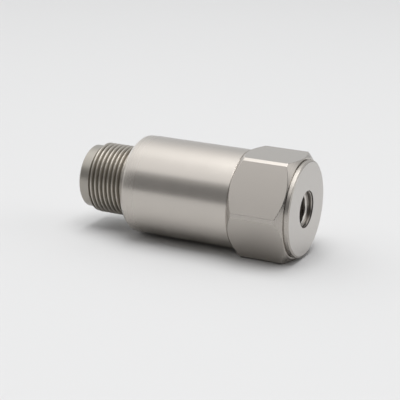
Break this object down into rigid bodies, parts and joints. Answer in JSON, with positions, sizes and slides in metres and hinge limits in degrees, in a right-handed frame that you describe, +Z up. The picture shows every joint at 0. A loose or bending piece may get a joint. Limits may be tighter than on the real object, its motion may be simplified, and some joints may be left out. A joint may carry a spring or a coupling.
{
  "type": "vibration sensor",
  "caption": "Stainless steel vibration sensor with a hexagon body, round case, tapped mounting hole in its base and a threaded pin receptacle on its far end.",
  "frame": {"origin": "centre of the tapped mounting hole's mouth, on the mounting face", "axes": "+X out of the mounting hole along the sensor's axis, the receptacle points along -X, and +Z is up as the sensor lies on a flat of its hexagon"},
  "size_m": [0.0516, 0.0248, 0.022],
  "materials": {
    "body_steel": "fine turned and milled satin stainless steel",
    "base_steel": "faced satin stainless steel",
    "connector_steel": "turned stainless steel with a cut thread",
    "spring_steel": "plain rolled steel",
    "mass_steel": "ground dark alloy steel",
    "contact_gold": "gold-plated contact",
    "electrode_brass": "rolled brass sheet",
    "insert_plastic": "black moulded thermoset",
    "natural_plastic": "machined natural plastic",
    "chip_plastic": "black moulded epoxy",
    "capacitor_body": "moulded epoxy",
    "board_laminate": "glass-epoxy laminate with solder mask",
    "red_insulation": "wire insulation",
    "black_insulation": "wire insulation",
    "seal_rubber": "moulded seal rubber",
    "white_ceramic": "ground alumina",
    "piezo_ceramic": "lapped piezo ceramic"
  },
  "bodies": {
    "root": {"housing": "body_steel", "base_plug": "base_steel", "plug_seal": "seal_rubber", "connector_shell": "connector_steel", "connector_insert": "insert_plastic", "insert_seal": "seal_rubber", "insert_retainer": "spring_steel", "contact_pin_a": "contact_gold", "contact_pin_b": "contact_gold", "isolation_disc": "white_ceramic", "ground_electrode": "electrode_brass", "lower_crystal": "piezo_ceramic", "signal_electrode": "electrode_brass", "upper_crystal": "piezo_ceramic", "seismic_mass": "mass_steel", "screw_sleeve": "natural_plastic", "head_insulator": "white_ceramic", "spring_washer": "spring_steel", "preload_screw": "spring_steel", "shield_can": "electrode_brass", "signal_lead": "red_insulation", "ground_lead": "black_insulation", "board_carrier": "natural_plastic", "circuit_board": "board_laminate", "amplifier_chip": "chip_plastic", "loop_transistor": "chip_plastic", "filter_capacitors": "capacitor_body", "chip_resistors": "chip_plastic"}
  },
  "joints": []
}
